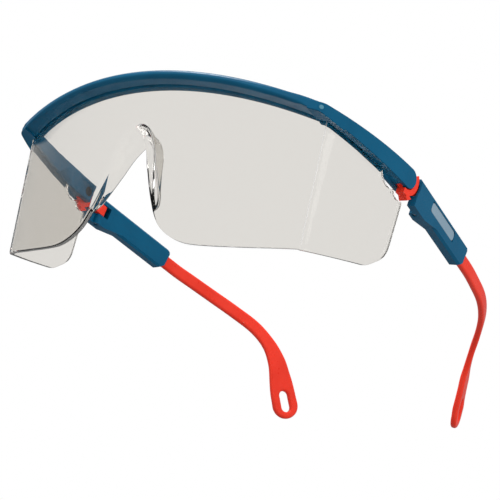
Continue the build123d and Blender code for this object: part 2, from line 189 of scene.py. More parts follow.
for node, (material, slot) in FINISH.items():
    thing = frame["nodes"][node]
    thing.data.materials.clear()
    thing.data.materials.append(material)
    for face in thing.data.polygons:
        face.material_index = 0


# ---------------------------------------------------------------- lens
# sizes of the lens
WALL = 2.0
FRONT_RADIUS, HALF_WIDTH, APEX_Y = 140.0, 68.2, -18.2
RAKE, LEAN = 0.24, 0.03
SHIELD_MID, SHIELD_END = (73.1, 19.5), (74.9, 60.0)
SAGITTA = FRONT_RADIUS - math.sqrt(FRONT_RADIUS ** 2 - HALF_WIDTH ** 2)
FOLD_Y_MM = APEX_Y + SAGITTA
FOOT = [(0.0, 33.5), (5.0, 28.6), (8.6, 19.0), (13.0, 8.0), (17.6, 0.0), (24.0, -4.3), (32.0, -5.9),
        (50.0, -4.2), (68.2, -0.6)]
FOOT_SLOPES = (0.98, -0.2), (1.0, 0.2)  # at its first and last point
SHIELD_FOOT = [(0.6, -0.6), (27.0, 9.4), (34.4, 17.0), (32.2, 36.2)]
SHIELD_CORNER = 9.0
TOP_RISE = [(0.0, 51.4), (90.0, 40.4)]
LIP_CENTRE, LIP_RADIUS, LIP_TURN = (28.5, 45.7), 8.3, (-70.0, -92.0)
RELIEF_CENTRE, RELIEF_RADIUS, RELIEF_TURN = (22.8, 44.2), 5.6, (-58.0, -178.0)
FLANGE_WALL, FLANGE_REAR = 2.2, -15.0
FLANGE_FADE = (4.2, 10.0)               # heights over which the nose flange grows from nothing
EDGE_ROUND = 0.45
NOSE_HALF_WIDTH, NOSE_TOP = FOOT[4][0] + 1, FOOT[0][1] + 1
# points that ease the notch's corners, which the CAD lens has sharper
REAR_TOP = [(32.15, 36.9), (31.95, 37.6)]
LIP_TO_RELIEF = [(27.1, 37.8), (26.3, 38.6)]
# the lens's folds
FOLD_SOFTNESS, FOLD_STEPS = 1.1, 8      # half width over which a fold is averaged, and half the samples
FOLD_COLUMNS = (-1.6, -1.1, -0.65, -0.2, 0.2, 0.65, 1.1, 1.6)      # close-set grid columns over a fold
FOLD_CLEAR = 2.2                        # half width of the strip that those columns have to themselves
FOLD_LINE = 0.25                        # half width of the frosted line
# how finely the lens is divided
SUPPORT, WEB = 0.45, 1.3                # flat margins beside the edge, and the fillet at the flange's root
CORNER_SHARE = 0.29                     # distance of a round corner's middle from each side, in radii
FLANGE_OUT, FLANGE_BACK = 0.5, 0.3      # places of the flange's extra rings, in shares of its length
FLANGE_RIM = (36, 72, 108, 144)         # turn of each ring round the flange's rim, in degrees
OUTLINE_STEP, GRID_STEP = 0.8, 2.2
GRID_COLUMNS, GRID_ROWS, FOLD_ROWS = range(-56, 57), range(-4, 26), range(-4, 50)
GRID_GAP = 0.45                         # share of a grid step that stays free along the outline
FOOT_POINTS, TOP_POINTS, LIP_POINTS, RELIEF_POINTS = 160, 120, 6, 14
CORNER_PARTS, WALL_PARTS = 8, 9
TOP_ROUNDS = 6                          # rounds that find the height of the upper edge
SLOPE_STEP = 0.15
FROST_FROM = 3                          # the edge is frosted from this ring to the same one from the far side
CDT_EPSILON = 1e-6


def circle_through(a, b, c):
    """Centre and radius of the circle through three points."""
    d = 2 * (a[0] * (b[1] - c[1]) + b[0] * (c[1] - a[1]) + c[0] * (a[1] - b[1]))
    squares = [p[0] ** 2 + p[1] ** 2 for p in (a, b, c)]
    x = (squares[0] * (b[1] - c[1]) + squares[1] * (c[1] - a[1]) + squares[2] * (a[1] - b[1])) / d
    y = (squares[0] * (c[0] - b[0]) + squares[1] * (a[0] - c[0]) + squares[2] * (b[0] - a[0])) / d
    return x, y, math.hypot(a[0] - x, a[1] - y)


SIDE_ARC = circle_through((HALF_WIDTH, FOLD_Y_MM), SHIELD_MID, SHIELD_END)
TOP_ARC = circle_through((-TOP_RISE[1][0], TOP_RISE[1][1]), TOP_RISE[0], TOP_RISE[1])


def sheet_point(u, v):
    """Outer face of the lens. u runs round the plan from the apex, in millimetres, and v is the height."""
    side = math.copysign(1.0, u)
    if abs(u) <= HALF_WIDTH:
        chord = HALF_WIDTH + LEAN * v
        radius = (chord ** 2 + SAGITTA ** 2) / (2 * SAGITTA)
        x = abs(u) * chord / HALF_WIDTH
        return Vector((side * x, APEX_Y + radius - math.sqrt(radius ** 2 - x ** 2) - RAKE * v, v))
    y = FOLD_Y_MM + abs(u) - HALF_WIDTH
    x = SIDE_ARC[0] + math.sqrt(SIDE_ARC[2] ** 2 - (y - SIDE_ARC[1]) ** 2) + LEAN * v
    return Vector((side * x, y - RAKE * v, v))


def outer_face(u, v):
    """The same face with its two folds softened."""
    if abs(abs(u) - HALF_WIDTH) >= FOLD_SOFTNESS:
        return sheet_point(u, v)
    steps = [FOLD_SOFTNESS * i / FOLD_STEPS for i in range(-FOLD_STEPS, FOLD_STEPS + 1)]
    return sum((sheet_point(u + step, v) for step in steps), Vector()) / len(steps)


def inward(u, v):
    """Direction through the wall, towards the face."""
    across = outer_face(u + SLOPE_STEP, v) - outer_face(u - SLOPE_STEP, v)
    up = outer_face(u, v + SLOPE_STEP) - outer_face(u, v - SLOPE_STEP)
    return up.cross(across).normalized()


def from_side(y, z):
    """u and v of a point given in side view."""
    return HALF_WIDTH + y + RAKE * z - FOLD_Y_MM, z


def top_height(u):
    """Height of the lens's upper edge, inside the groove of the brow frame.
    The edge is an arc in front view, and the place across it depends a little on the height."""
    height = TOP_RISE[0][1]
    for _ in range(TOP_ROUNDS):
        x = outer_face(u, height).x
        height = TOP_ARC[1] + math.sqrt(TOP_ARC[2] ** 2 - x ** 2)
    return height


def spline_through(points, count, first, last):
    """Smooth curve through flat points, as count points at even steps. Its slopes follow the neighbours,
    apart from the first and the last."""
    chords = [0.0]
    for a, b in zip(points, points[1:]):
        chords.append(chords[-1] + math.hypot(b[0] - a[0], b[1] - a[1]))
    slopes = []
    for i in range(len(points)):
        a, b = max(i - 1, 0), min(i + 1, len(points) - 1)
        gap = chords[b] - chords[a]
        slopes.append(((points[b][0] - points[a][0]) / gap, (points[b][1] - points[a][1]) / gap))
    slopes[0], slopes[-1] = first, last
    result = []
    for k in range(count):
        s = chords[-1] * k / (count - 1)
        i = min(max(n for n in range(len(points)) if chords[n] <= s + 1e-9), len(points) - 2)
        span = chords[i + 1] - chords[i]
        t = (s - chords[i]) / span
        h = (2 * t ** 3 - 3 * t ** 2 + 1, (t ** 3 - 2 * t ** 2 + t) * span, 3 * t ** 2 - 2 * t ** 3,
             (t ** 3 - t ** 2) * span)
        result.append(tuple(h[0] * points[i][c] + h[1] * slopes[i][c] + h[2] * points[i + 1][c]
                            + h[3] * slopes[i + 1][c] for c in (0, 1)))
    return result


def rounded_corner(before, corner, after, radius):
    """Points of the arc that rounds a corner between two straight edges."""
    a = (Vector(before) - Vector(corner)).normalized()
    b = (Vector(after) - Vector(corner)).normalized()
    half = a.angle(b) / 2
    centre = Vector(corner) + (a + b).normalized() * radius / math.sin(half)
    start = Vector(corner) + a * radius / math.tan(half) - centre
    end = Vector(corner) + b * radius / math.tan(half) - centre
    turn = start.angle_signed(end)
    return [tuple(centre + Matrix.Rotation(-turn * k / CORNER_PARTS, 2) @ start)
            for k in range(CORNER_PARTS + 1)]


def evenly(points, step):
    """The same open polyline, resampled at an even step."""
    lengths = [0.0]
    for a, b in zip(points, points[1:]):
        lengths.append(lengths[-1] + math.hypot(b[0] - a[0], b[1] - a[1]))
    count = max(2, round(lengths[-1] / step))
    result, i = [], 0
    for k in range(count + 1):
        s = lengths[-1] * k / count
        while i < len(points) - 2 and lengths[i + 1] < s:
            i += 1
        t = (s - lengths[i]) / max(lengths[i + 1] - lengths[i], 1e-9)
        result.append(tuple(points[i][c] + (points[i + 1][c] - points[i][c]) * t for c in (0, 1)))
    return result


def arc_points(centre, radius, start, end, count):
    """Points of an arc between two angles in degrees."""
    angles = [math.radians(start + (end - start) * k / (count - 1)) for k in range(count)]
    return [(centre[0] + radius * math.cos(a), centre[1] + radius * math.sin(a)) for a in angles]


def right_half_outline():
    """Outline of the right half in u and v, from the nose apex down, round the shield and back to the top."""
    foot = spline_through(FOOT, FOOT_POINTS, *FOOT_SLOPES)
    first, second = SHIELD_FOOT[1], SHIELD_FOOT[2]
    side = [SHIELD_FOOT[0]]
    side += rounded_corner(SHIELD_FOOT[0], first, second, SHIELD_CORNER)
    side += rounded_corner(first, second, SHIELD_FOOT[3], SHIELD_CORNER)
    side += REAR_TOP
    side += arc_points(LIP_CENTRE, LIP_RADIUS, *LIP_TURN, LIP_POINTS)
    side += LIP_TO_RELIEF
    side += arc_points(RELIEF_CENTRE, RELIEF_RADIUS, *RELIEF_TURN, RELIEF_POINTS)
    outline = evenly(foot, OUTLINE_STEP)[:-1]
    outline += evenly([from_side(y, z) for y, z in side], OUTLINE_STEP)
    u_end = outline[-1][0]
    top = [u_end * (1 - k / TOP_POINTS) for k in range(1, TOP_POINTS + 1)]
    return outline + [(u, top_height(u)) for u in top]


def plain_profile():
    """Inset and depth of each ring round an ordinary edge of the sheet."""
    e = EDGE_ROUND
    near = [(e + SUPPORT, 0), (e, 0), (CORNER_SHARE * e, CORNER_SHARE * e), (0, e)]
    far = [(inset, WALL - depth) for inset, depth in reversed(near)]
    middle = [(0, e + (WALL - 2 * e) * k / WALL_PARTS) for k in range(1, WALL_PARTS)]
    return near + middle + far


def flange_profile(depth):
    """The same rings where the edge reaches back as the nose flange: out, round its rim and back."""
    e, half = EDGE_ROUND, FLANGE_WALL / 2
    near = [(e + SUPPORT, 0), (e, 0), (CORNER_SHARE * e, CORNER_SHARE * e), (0, e)]
    out = [(0, WALL + (depth - WALL) * FLANGE_OUT), (0, depth - half)]
    rim = [(half - half * math.cos(math.radians(a)), depth - half + half * math.sin(math.radians(a)))
           for a in FLANGE_RIM]
    back = [(FLANGE_WALL, depth - half), (FLANGE_WALL, WALL + WEB + (depth - WALL) * FLANGE_BACK)]
    root = [(FLANGE_WALL, WALL + WEB), (FLANGE_WALL + CORNER_SHARE * WEB, WALL + CORNER_SHARE * WEB),
            (FLANGE_WALL + WEB, WALL), (FLANGE_WALL + WEB + SUPPORT, WALL)]
    return near + out + rim + back + root


def flange_share(u, v):
    """How much of the nose flange the edge carries at a place of the outline, from 0 to 1."""
    at_nose = abs(u) < NOSE_HALF_WIDTH and v < NOSE_TOP
    rise = min(max((v - FLANGE_FADE[0]) / (FLANGE_FADE[1] - FLANGE_FADE[0]), 0.0), 1.0)
    return math.sqrt(1 - (1 - rise) ** 2) if at_nose else 0.0


def edge_rings(u, v, way_in):
    """Unrolled and real place of each ring at one point of the outline, from the outer face to the inner."""
    share = flange_share(u, v)
    depth = WALL + FLANGE_REAR - (outer_face(u, v) + inward(u, v) * WALL).y
    rings = []
    for plain_ring, long_ring in zip(plain_profile(), flange_profile(depth)):
        inset, deep = (a + (b - a) * share for a, b in zip(plain_ring, long_ring))
        flat = Vector((u, v)) + way_in * inset
        place = outer_face(*flat) + inward(*flat) * min(deep, WALL)
        place.y += max(deep - WALL, 0.0)
        rings.append((flat, place))
    return rings


def sheet_grid(loop):
    """Points of an even grid inside a loop, close-set over the two folds."""
    spots = [Vector((column * GRID_STEP, row * GRID_STEP)) for row in GRID_ROWS for column in GRID_COLUMNS]
    spots = [spot for spot in spots if abs(abs(spot.x) - HALF_WIDTH) > FOLD_CLEAR]
    spots += [Vector((sign * (HALF_WIDTH + aside), row * GRID_STEP / 2)) for row in FOLD_ROWS
              for sign in (-1, 1) for aside in FOLD_COLUMNS]
    gap = GRID_GAP * GRID_STEP
    return [spot for spot in spots if inside(spot, loop) and min((spot - edge).length for edge in loop) > gap]


def strip_faces(columns):
    """Quads between neighbouring columns of points, round a closed outline."""
    following = columns[1:] + columns[:1]
    return [(a[k], a[k + 1], b[k + 1], b[k]) for a, b in zip(columns, following) for k in range(len(a) - 1)]


def triangulated(rim, rim_numbers, rim_edges, grid, points, lift):
    """Triangles of a flat area, each as its flat corners and their numbers in points.
    The rim is in points already. The grid is the free points inside, which lift puts in place."""
    flat, _, triangles, origins, _, _ = delaunay_2d_cdt(rim + grid, rim_edges, [], 1, CDT_EPSILON)
    numbers = []
    for spot, origin in zip(flat, origins):
        if origin and origin[0] < len(rim):
            numbers.append(rim_numbers[origin[0]])
        else:
            numbers.append(len(points))
            points.append(lift(spot))
    return [([flat[c] for c in triangle], tuple(numbers[c] for c in triangle)) for triangle in triangles]


def inset_way(before, after):
    """Direction to the left of the way from one flat point to another."""
    along = (Vector(after) - Vector(before)).normalized()
    return Vector((-along.y, along.x))


def build_lens():
    """The lens as one closed sheet: its two faces, and the rings of its edge between them."""
    half = right_half_outline()
    outline = half + [(-u, v) for u, v in reversed(half[1:-1])]
    count = len(outline)
    last = len(plain_profile()) - 1
    points, columns, rims = [], [], [[] for _ in range(last + 1)]
    for i, (u, v) in enumerate(outline):
        column = []
        way_in = inset_way(outline[i - 1], outline[(i + 1) % count])
        for rim, (flat, place) in zip(rims, edge_rings(u, v, way_in)):
            rim.append(flat)
            column.append(len(points))
            points.append(place)
        columns.append(column)
    faces = strip_faces(columns)
    frosted = [i * last + k for i, (u, v) in enumerate(outline) if flange_share(u, v) == 0.0
               for k in range(FROST_FROM, last - FROST_FROM)]
    rim_edges = [(i, (i + 1) % count) for i in range(count)]
    for ring, depth in ((0, 0.0), (last, WALL)):
        numbers = [column[ring] for column in columns]

        def lift(flat):
            return outer_face(*flat) + inward(*flat) * depth

        grid = sheet_grid(rims[ring])
        for flats, corners in triangulated(rims[ring], numbers, rim_edges, grid, points, lift):
            if ring == 0 and all(abs(abs(flat.x) - HALF_WIDTH) < FOLD_LINE for flat in flats):
                frosted.append(len(faces))
            faces.append(corners)
    sheet = new_piece("lens_sheet", points, faces)
    finish_piece(sheet, "lens")
    sheet.data.materials.append(CLEAR_EDGE)
    for face in frosted:
        sheet.data.polygons[face].material_index = 1


# ---------------------------------------------------------------- pieces
def inside(spot, loop):
    """Whether a flat point is inside a closed polyline."""
    hit = False
    for a, b in zip(loop, loop[1:] + loop[:1]):
        if (a.y > spot.y) != (b.y > spot.y) and spot.x < (b.x - a.x) * (spot.y - a.y) / (b.y - a.y) + a.x:
            hit = not hit
    return hit


def new_piece(name, points, faces):
    """A smooth-shaded object from points in the design frame, with its faces turned outwards."""
    mesh = bpy.data.meshes.new(name)
    mesh.from_pydata([TO_ROW @ Vector(p) for p in points], [], faces)
    work = bmesh.new()
    work.from_mesh(mesh)
    bmesh.ops.recalc_face_normals(work, faces=work.faces)
    work.to_mesh(mesh)
    work.free()
    for face in mesh.polygons:
        face.use_smooth = True
    thing = bpy.data.objects.new(name, mesh)
    bpy.context.scene.collection.objects.link(thing)
    return thing


def finish_piece(thing, node):
    """Gives a piece the material and body of the CAD node that it stands for."""
    material, slot = FINISH[node]
    thing.data.materials.clear()
    thing.data.materials.append(material)
    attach(thing, BODY_OF[node])
    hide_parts(node)


# ---------------------------------------------------------------- moulded copies of the CAD forms
WELD = 0.000004                         # in metres
FLAT_ANGLE, SHARP_ANGLE = math.radians(0.6), math.radians(28.0)
BEVEL_SEGMENTS = 4
BODY_OF = {node: body for body, members in frame["record"]["behaviour"]["bodies"].items() for node in members}


def softened(node, width, share=lambda place: 1.0, clamp=True, keep=lambda place: False):
    """A copy of a CAD node's form with its facets merged and its edges rounded, as moulded.
    share gives how much of the width the edge at a place in the design frame takes, and keep tells where the
    facets stay as they are. Without clamp, a rounding may be wider than the faces beside it."""
    source = frame["nodes"][node].data
    mesh = bpy.data.meshes.new(node + "_form")
    mesh.from_pydata([v.co for v in source.vertices], [], [tuple(p.vertices) for p in source.polygons])
    work = bmesh.new()
    work.from_mesh(mesh)
    bmesh.ops.remove_doubles(work, verts=work.verts, dist=WELD)
    free = [v for v in work.verts if not keep(TO_DESIGN @ v.co)]
    free_edges = [e for e in work.edges if all(not keep(TO_DESIGN @ v.co) for v in e.verts)]
    bmesh.ops.dissolve_limit(work, angle_limit=FLAT_ANGLE, verts=free, edges=free_edges)
    bmesh.ops.recalc_face_normals(work, faces=work.faces)
    weights = work.edges.layers.float.new("bevel_weight_edge")
    for edge in work.edges:
        if edge.calc_face_angle(0.0) > SHARP_ANGLE:
            middle = TO_DESIGN @ ((edge.verts[0].co + edge.verts[1].co) / 2)
            edge[weights] = share(middle)
    work.to_mesh(mesh)
    work.free()
    for face in mesh.polygons:
        face.use_smooth = True
    thing = bpy.data.objects.new(node + "_form", mesh)
    bpy.context.scene.collection.objects.link(thing)
    bevel = thing.modifiers.new("rounded_edges", "BEVEL")
    bevel.width = width / 1000
    bevel.segments = BEVEL_SEGMENTS
    bevel.limit_method = "WEIGHT"
    bevel.harden_normals = True
    bevel.use_clamp_overlap = clamp
    finish_piece(thing, node)


BAR_ROUNDING, SLEEVE_ROUNDING, JOINT_ROUNDING = 1.6, 0.3, 0.2
BAR_CENTRE_Y, BAR_FRONT = 110.8, 5.7    # the bar's front is an arc this far outside the lens's radius
FRONT_DEPTH = 0.4                       # edges up to this far behind it are front edges
# distances from the middle: the front rounding is full up to the first and fades over the second,
# and past the third no edge counts as a front edge
BAR_ROUND_TO, BAR_ROUND_FADE, BAR_ROUND_END = 52.0, 12.0, 70.0
SLIGHT = 0.14                           # share of the bar's rounding that its other edges have
CORNER_FROM_X, CORNER_TO_Y = 58, -8
PAD_TO_X, PAD_FROM_Y = 76, 8


def bar_corner(place):
    """Whether a place is at one of the bar's outer corners, where the bar meets a side arm."""
    return abs(place.x) > CORNER_FROM_X and place.y < CORNER_TO_Y


def brow_edge(place):
    """The bar's front edges are fully rounded and fade towards its corners. The pads beside the joints stay
    square, and the other edges are slightly rounded."""
    ahead = math.hypot(place.x, place.y - BAR_CENTRE_Y) - FRONT_RADIUS
    if ahead > BAR_FRONT - FRONT_DEPTH and abs(place.x) < BAR_ROUND_END:
        return min(1.0, max(SLIGHT, 1.0 - (abs(place.x) - BAR_ROUND_TO) / BAR_ROUND_FADE))
    at_pad = place.y > PAD_FROM_Y and abs(place.x) < PAD_TO_X
    return 0.0 if at_pad else SLIGHT


# ---------------------------------------------------------------- temples
# U, V and Z are the left sleeve's own frame, and runs are distances along the arm's centre line
FOLD_MM = Vector((76.0, 41.0, 0.0))
TOE_IN = math.radians(7.3)
ARM_MIDDLE_U, ARM_START_V, ARM_TAIL_V, ARM_Z = 0.5, 45.0, 18.6, 44.7
ARM_LINE = [(68.6, 96.5, 44.8), (65.6, 108.0, 44.6), (61.0, 118.4, 43.5), (55.0, 127.8, 41.0),
            (50.2, 134.2, 36.6), (47.0, 138.9, 31.0), (45.2, 142.4, 25.2), (43.6, 145.6, 19.4),
            (42.5, 148.0, 15.5)]
TIP_DIRECTION = Vector((-0.24, 0.49, -0.84)).normalized()
ARM_HEIGHT, NECK_HEIGHT, PADDLE_HEIGHT, ARM_THICK = 5.4, 5.6, 11.8, 2.4
PADDLE_FROM, PADDLE_LENGTH, TIP_EASE = 50.0, 31.0, 0.4
SLOT_LENGTH, SLOT_WIDTH, SLOT_BACK = 9.0, 4.2, 1.6
ARM_EDGE, ARM_GRID, ARM_PARTS = 1.0, 1.3, 110
TIP_PARTS, TAIL_PARTS, SLOT_PARTS, SLOT_SIDE_PARTS = 24, 8, 12, 5
TANGENT_STEP = 0.6                      # half the stretch of the arm that gives its direction
PLATE_ROUNDS, PLATE_SUPPORT, PLATE_GAP = 5, 0.3, 0.4


def sleeve_point(u, v, z):
    """A point of the left sleeve's own frame: U outwards, V rearwards from the fold axis, at a height."""
    turned = Matrix.Rotation(TOE_IN, 3, "Z") @ Vector((u, v, 0))
    return FOLD_MM + turned + Vector((0, 0, z))


def arm_line():
    """Centre line of the left temple from inside the sleeve to the middle of the round tip: its points,
    their distances along it, the slopes there and the direction of its straight part."""
    start = sleeve_point(ARM_MIDDLE_U, ARM_START_V, ARM_Z)
    straight = (Matrix.Rotation(TOE_IN, 3, "Z") @ Vector((0, 1, 0))).normalized()
    knots = [start] + [Vector(p) for p in ARM_LINE]
    runs = [0.0]
    for a, b in zip(knots, knots[1:]):
        runs.append(runs[-1] + (b - a).length)
    slopes = [straight]
    for i in range(1, len(knots) - 1):
        slopes.append((knots[i + 1] - knots[i - 1]) / (runs[i + 1] - runs[i - 1]))
    slopes.append(TIP_DIRECTION)
    return knots, runs, slopes, straight


KNOTS, RUNS, SLOPES, STRAIGHT = arm_line()
ARM_RUN = RUNS[-1]


def arm_centre(run):
    """Point of the centre line at a distance along it. It goes on straight past both ends."""
    if run <= 0:
        return KNOTS[0] + STRAIGHT * run
    if run >= ARM_RUN:
        return KNOTS[-1] + TIP_DIRECTION * (run - ARM_RUN)
    i = min(max(n for n in range(len(KNOTS)) if RUNS[n] <= run), len(KNOTS) - 2)
    span = RUNS[i + 1] - RUNS[i]
    t = (run - RUNS[i]) / span
    return (KNOTS[i] * (2 * t ** 3 - 3 * t ** 2 + 1) + SLOPES[i] * span * (t ** 3 - 2 * t ** 2 + t)
            + KNOTS[i + 1] * (3 * t ** 2 - 2 * t ** 3) + SLOPES[i + 1] * span * (t ** 3 - t ** 2))


def arm_half_height(run):
    """Half the temple's height at a distance along it, which grows towards the paddle."""
    share = min(max((run - PADDLE_FROM) / PADDLE_LENGTH, 0.0), 1.0)
    growth = (PADDLE_HEIGHT - NECK_HEIGHT) * share * share * (3 - 2 * share)
    return (ARM_HEIGHT + (NECK_HEIGHT - ARM_HEIGHT) * min(max(run / PADDLE_FROM, 0.0), 1.0) + growth) / 2


def arm_place(run, height, depth):
    """Point of the temple: a distance along it, up its height, and in from its outer face."""
    along = (arm_centre(run + TANGENT_STEP) - arm_centre(run - TANGENT_STEP)).normalized()
    level = Vector((along.y, -along.x, 0)).normalized()
    up = level.cross(along)
    return arm_centre(run) + up * height + level * (ARM_THICK / 2 - depth)


def signed_area(loop):
    """Area of a closed polyline, above zero if it runs anticlockwise."""
    return sum(a[0] * b[1] - b[0] * a[1] for a, b in zip(loop, loop[1:] + loop[:1])) / 2


def plate_profile(thick, edge):
    """Inset and depth of each ring round a plate's edge, which is a quarter round at either face."""
    quarter = [math.pi / 2 * k / (PLATE_ROUNDS - 1) for k in range(PLATE_ROUNDS)]
    near = [(edge + PLATE_SUPPORT, 0.0)]
    near += [(edge - edge * math.sin(turn), edge - edge * math.cos(turn)) for turn in quarter]
    return near + [(inset, thick - depth) for inset, depth in reversed(near)]


def plate_grid(rim, loops, step):
    """Points of an even grid inside the first loop and outside the others, clear of the rim."""
    low_u, high_u = min(flat.x for flat in rim), max(flat.x for flat in rim)
    low_v, high_v = min(flat.y for flat in rim), max(flat.y for flat in rim)
    columns, rows = int((high_u - low_u) / step) + 1, int((high_v - low_v) / step) + 1
    spots = [Vector((low_u + (a + 0.5) * step, low_v + (b + 0.5) * step))
             for a in range(columns) for b in range(rows)]
    return [spot for spot in spots
            if inside(spot, loops[0]) and not any(inside(spot, hole) for hole in loops[1:])
            and min((spot - flat).length for flat in rim) > PLATE_GAP * step]


def plate_piece(name, loops, place, thick, edge, grid_step):
    """A plate with rounded edges. loops are closed flat outlines, the first the outside and the rest holes,
    and place(u, v, depth) puts a point of the plate where it belongs."""
    profile = plate_profile(thick, edge)
    points, faces, columns, rims = [], [], [], [[] for _ in profile]
    for loop in loops:
        count = len(loop)
        sense = 1.0 if (signed_area(loop) > 0) == (loop is loops[0]) else -1.0
        first = len(columns)
        for i in range(count):
            way_in = inset_way(loop[i - 1], loop[(i + 1) % count]) * sense
            column = []
            for rim, (inset, depth) in zip(rims, profile):
                flat = Vector(loop[i]) + way_in * inset
                rim.append(flat)
                column.append(len(points))
                points.append(place(flat.x, flat.y, depth))
            columns.append(column)
        faces += strip_faces(columns[first:])
    starts = [sum(len(loop) for loop in loops[:n]) for n in range(len(loops))]
    rim_edges = [(start + i, start + (i + 1) % len(loop))
                 for start, loop in zip(starts, loops) for i in range(len(loop))]
    for ring, depth in ((0, 0.0), (len(profile) - 1, thick)):
        rim = rims[ring]
        ring_loops = [rim[start:start + len(loop)] for start, loop in zip(starts, loops)]
        numbers = [column[ring] for column in columns]

        def lift(flat):
            return place(flat.x, flat.y, depth)

        grid = plate_grid(rim, ring_loops, grid_step)
        for flats, corners in triangulated(rim, numbers, rim_edges, grid, points, lift):
            middle = (flats[0] + flats[1] + flats[2]) / 3
            if not any(inside(middle, hole) for hole in ring_loops[1:]):
                faces.append(corners)
    return new_piece(name, points, faces)


def half_turn(middle_u, reach, rise, parts, inner=False):
    """Points of a half ellipse from the top of a round end to its foot, without its two ends if inner."""
    steps = range(1, parts) if inner else range(parts + 1)
    return [(middle_u + reach * math.sin(math.pi * k / parts), rise * math.cos(math.pi * k / parts))
            for k in steps]


def arm_outline():
    """Outline of the temple unrolled: run along it and height, with its round tip."""
    first = ARM_TAIL_V - ARM_START_V
    runs = [first + k * (ARM_RUN - first) / ARM_PARTS for k in range(ARM_PARTS + 1)]
    upper = [(run, arm_half_height(run)) for run in runs]
    lower = [(run, -half) for run, half in reversed(upper)]
    tip = half_turn(ARM_RUN, (PADDLE_HEIGHT - TIP_EASE) / 2, upper[-1][1], TIP_PARTS, inner=True)
    tail = [(first, upper[0][1] * (2 * k / TAIL_PARTS - 1)) for k in range(1, TAIL_PARTS)]
    return upper + tip + lower + tail


def slot_outline():
    """Outline of the slot in the temple's tip, a stadium."""
    half, reach = SLOT_WIDTH / 2, (SLOT_LENGTH - SLOT_WIDTH) / 2
    middle = ARM_RUN - SLOT_BACK
    front = half_turn(middle + reach, half, half, SLOT_PARTS)
    back = half_turn(middle - reach, -half, -half, SLOT_PARTS)
    along = [middle + reach - 2 * reach * k / SLOT_SIDE_PARTS for k in range(1, SLOT_SIDE_PARTS)]
    return front + [(u, -half) for u in along] + back + [(u, half) for u in reversed(along)]


def on_side(side, point):
    """A point of the left side, or its mirror image for the right side."""
    return point if side == "left" else Vector((-point.x, point.y, point.z))


def build_temple(side):
    """Temple with its slot, a rounded plate bent along the centre line."""
    def place(run, height, depth):
        return on_side(side, arm_place(run, height, depth))

    blade = plate_piece(f"{side}_temple_blade", [arm_outline(), slot_outline()], place, ARM_THICK, ARM_EDGE,
                        ARM_GRID)
    finish_piece(blade, f"{side}_temple")


# ---------------------------------------------------------------- label plates and painted highlights
LABEL_LENGTH, LABEL_HEIGHT, LABEL_THICK, LABEL_CORNER = 21.0, 3.8, 0.4, 1.5
LABEL_MIDDLE, LABEL_OUTER_U = (15.5, 45.7), 2.8
LABEL_EDGE, LABEL_GRID = 0.15, 1.2
# place and size of the small pale disc that paints a highlight on each outer corner of the bar
HIGHLIGHT_MIDDLE = Vector((70.12, -16.59, 44.6))
HIGHLIGHT_OUT = Vector((0.738, -0.675, 0.0)).normalized()
HIGHLIGHT_ALONG = Vector((0.675, 0.738, 0.0)).normalized()
HIGHLIGHT_RADIUS, HIGHLIGHT_THICK, HIGHLIGHT_PROUD, HIGHLIGHT_EDGE, HIGHLIGHT_PARTS = 0.8, 0.4, 0.08, 0.1, 24


def label_outline():
    """Outline of the label plate on the sleeve's outer face, a rectangle with round corners."""
    reach, rise = LABEL_LENGTH / 2 - LABEL_CORNER, LABEL_HEIGHT / 2 - LABEL_CORNER
    points = []
    for quarter, (v, z) in enumerate(((reach, rise), (-reach, rise), (-reach, -rise), (reach, -rise))):
        middle = (LABEL_MIDDLE[0] + v, LABEL_MIDDLE[1] + z)
        points += arc_points(middle, LABEL_CORNER, 90 * quarter, 90 * (quarter + 1), 7)
    return points


def build_label(side):
    """Blank plate that lies in the recess of the sleeve's outer face."""
    def place(v, z, depth):
        return on_side(side, sleeve_point(LABEL_OUTER_U - depth, v, z))

    plate = plate_piece(f"{side}_label_face", [label_outline()], place, LABEL_THICK, LABEL_EDGE, LABEL_GRID)
    finish_piece(plate, f"{side}_label_plate")


def build_painted_highlight(side):
    """Small round pale disc on the bar's outer corner: a painted highlight where the bar's rounded end catches the
    light.
    """
    def place(across, up, depth):
        point = HIGHLIGHT_MIDDLE + HIGHLIGHT_ALONG * across + Vector((0, 0, up)) + HIGHLIGHT_OUT * (HIGHLIGHT_PROUD - depth)
        return on_side(side, point)

    circle = arc_points((0, 0), HIGHLIGHT_RADIUS, 0, 360 * (HIGHLIGHT_PARTS - 1) / HIGHLIGHT_PARTS, HIGHLIGHT_PARTS)
    mark = plate_piece(f"{side}_painted_highlight_disc", [circle], place, HIGHLIGHT_THICK, HIGHLIGHT_EDGE, HIGHLIGHT_RADIUS)
    mark.data.materials.append(PAINTED_HIGHLIGHT)
    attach(mark, "frame")


build_lens()
softened("brow_frame", BAR_ROUNDING, brow_edge, clamp=False, keep=bar_corner)
for side in ("left", "right"):
    softened(f"{side}_sleeve", SLEEVE_ROUNDING)
    softened(f"{side}_tilt_joint", JOINT_ROUNDING)
    build_temple(side)
    build_label(side)
    build_painted_highlight(side)

# ---------------------------------------------------------------- floor, light and camera
FLOOR_HALF = 12.0
FLOOR_SHADE, FLOOR_ROUGHNESS, FLOOR_GLOW = 0.90, 0.8, 0.16
AMBIENT_BELOW, AMBIENT_ABOVE = 0.35, 1.0      # light on the plastics from straight below and straight above
GLOSSY_AMBIENT = 0.3                          # brightness of the surroundings that the plastics reflect
LIGHT_BOUNCES = 40                            # enough for a look along the inside of the clear edges
CAMERA_PLACE = TO_ROW @ Vector((445.106, -421.180, -266.825))
CAMERA_BACK = (TO_ROW.to_3x3() @ Vector((0.62431, -0.66035, -0.41734))).normalized()
CAMERA_UP = (TO_ROW.to_3x3() @ Vector((0.01208, -0.52602, 0.85039))).normalized()
SENSOR_MM, FOCAL_MM = 36.0, 136.944
NEAREST = 0.01


